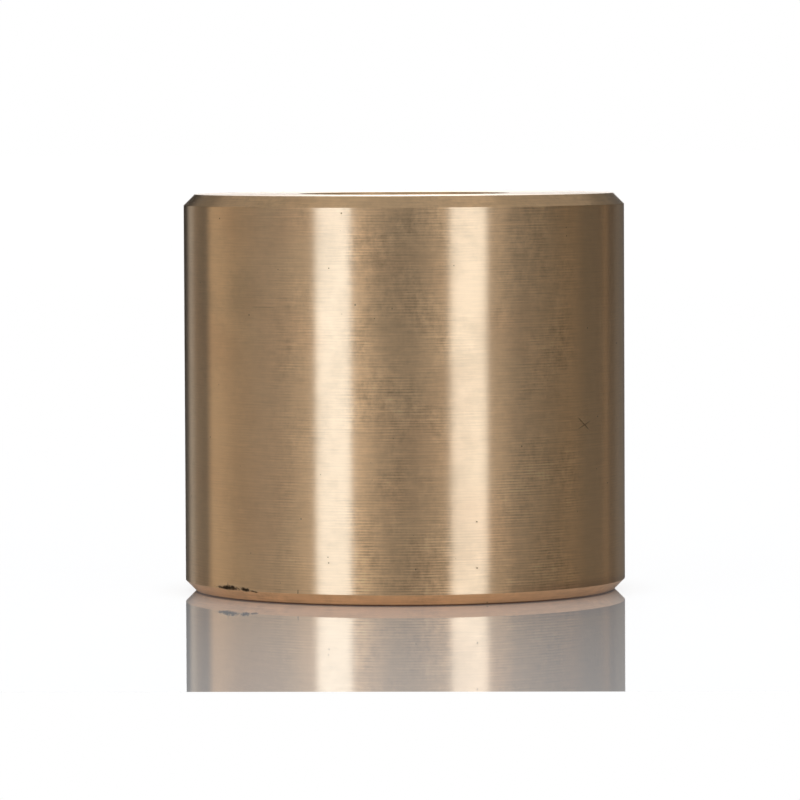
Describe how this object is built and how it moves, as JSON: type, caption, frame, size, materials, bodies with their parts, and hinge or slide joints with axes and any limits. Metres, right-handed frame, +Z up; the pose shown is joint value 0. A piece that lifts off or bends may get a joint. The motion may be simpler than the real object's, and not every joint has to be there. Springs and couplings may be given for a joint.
{
  "type": "lead screw nut",
  "caption": "Plain round bronze nut for a trapezoidal lead screw, with a right-hand thread through it and chamfered ends.",
  "frame": {"origin": "centre of the lower end face", "axes": "+Z up along the thread's axis, +X to the right and +Y to the back as the nut stands"},
  "size_m": [0.04, 0.04, 0.036],
  "materials": {
    "turned_bronze": "fine-turned bronze, lightly tarnished"
  },
  "bodies": {
    "root": {"nut": "turned_bronze"}
  },
  "joints": []
}
